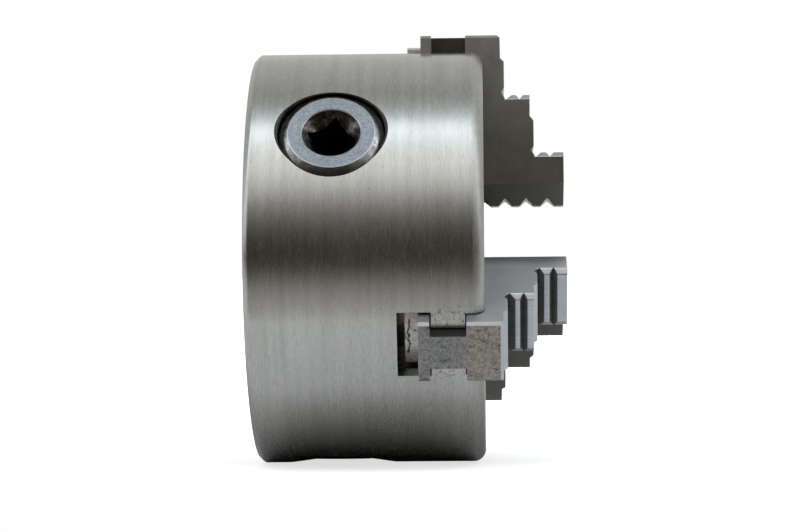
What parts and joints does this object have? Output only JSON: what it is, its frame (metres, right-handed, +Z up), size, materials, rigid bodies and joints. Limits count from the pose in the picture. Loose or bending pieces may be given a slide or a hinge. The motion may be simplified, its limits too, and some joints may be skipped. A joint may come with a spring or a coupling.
{
  "type": "lathe chuck",
  "caption": "Self-centring scroll lathe chuck: a round steel body with stepped jaws in radial T-slots, key-driven pinions in the rim and a plain recessed mounting face.",
  "frame": {"origin": "centre of the mounting face, where the spindle backplate seats", "axes": "+X along the spindle axis from the mounting face to the jaws, +Z up as the chuck stands in the picture"},
  "size_m": [0.0745, 0.1023, 0.1044],
  "materials": {
    "turned_steel": "fine turned and ground, satin",
    "jaw_steel": "ground hardened steel, dull grey",
    "pinion_steel": "fine turned",
    "scroll_steel": "machined, oiled",
    "cover_steel": "turned",
    "screw_steel": "black oxide"
  },
  "bodies": {
    "body": {"chuck_body": "turned_steel", "cover_plate": "cover_steel", "cover_screw_1": "screw_steel", "cover_screw_2": "screw_steel", "cover_screw_3": "screw_steel", "pinion_screw_1": "screw_steel", "pinion_screw_2": "screw_steel", "pinion_screw_3": "screw_steel"},
    "scroll": {"scroll_plate": "scroll_steel"},
    "pinion_1": {"pinion_1": "pinion_steel"},
    "pinion_2": {"pinion_2": "pinion_steel"},
    "pinion_3": {"pinion_3": "pinion_steel"},
    "jaw_1": {"jaw_1": "jaw_steel"},
    "jaw_2": {"jaw_2": "jaw_steel"},
    "jaw_3": {"jaw_3": "jaw_steel"}
  },
  "joints": [
    {"name": "scroll_turn", "type": "hinge", "parent": "body", "child": "scroll", "pos_m": [0.036, 0, 0], "axis": [1, 0, 0], "range_deg": [-810, 216]},
    {"name": "jaw_1_slide", "type": "slide", "parent": "body", "child": "jaw_1", "axis": [0, 0.1097, 0.994], "range_m": [-0.01126, 0.00301]},
    {"name": "jaw_2_slide", "type": "slide", "parent": "body", "child": "jaw_2", "axis": [0, -0.9157, -0.4019], "range_m": [-0.01126, 0.00301]},
    {"name": "jaw_3_slide", "type": "slide", "parent": "body", "child": "jaw_3", "axis": [0, 0.8059, -0.592], "range_m": [-0.01126, 0.00301]},
    {"name": "pinion_1_turn", "type": "hinge", "parent": "body", "child": "pinion_1", "pos_m": [0.02, -0.03385, 0.02487], "axis": [0, -0.8059, 0.592], "range_deg": [-757, 2836]},
    {"name": "pinion_2_turn", "type": "hinge", "parent": "body", "child": "pinion_2", "pos_m": [0.02, -0.00461, -0.04175], "axis": [0, -0.1097, -0.994], "range_deg": [-757, 2836]},
    {"name": "pinion_3_turn", "type": "hinge", "parent": "body", "child": "pinion_3", "pos_m": [0.02, 0.03846, 0.01688], "axis": [0, 0.9157, 0.4019], "range_deg": [-757, 2836]}
  ],
  "couplings": [
    {"joint": "jaw_1_slide", "follows": "scroll_turn", "m_per_rad": 0.00079577},
    {"joint": "jaw_2_slide", "follows": "scroll_turn", "m_per_rad": 0.00079577},
    {"joint": "jaw_3_slide", "follows": "scroll_turn", "m_per_rad": 0.00079577},
    {"joint": "pinion_1_turn", "follows": "scroll_turn", "ratio": -3.5},
    {"joint": "pinion_2_turn", "follows": "scroll_turn", "ratio": -3.5},
    {"joint": "pinion_3_turn", "follows": "scroll_turn", "ratio": -3.5}
  ]
}
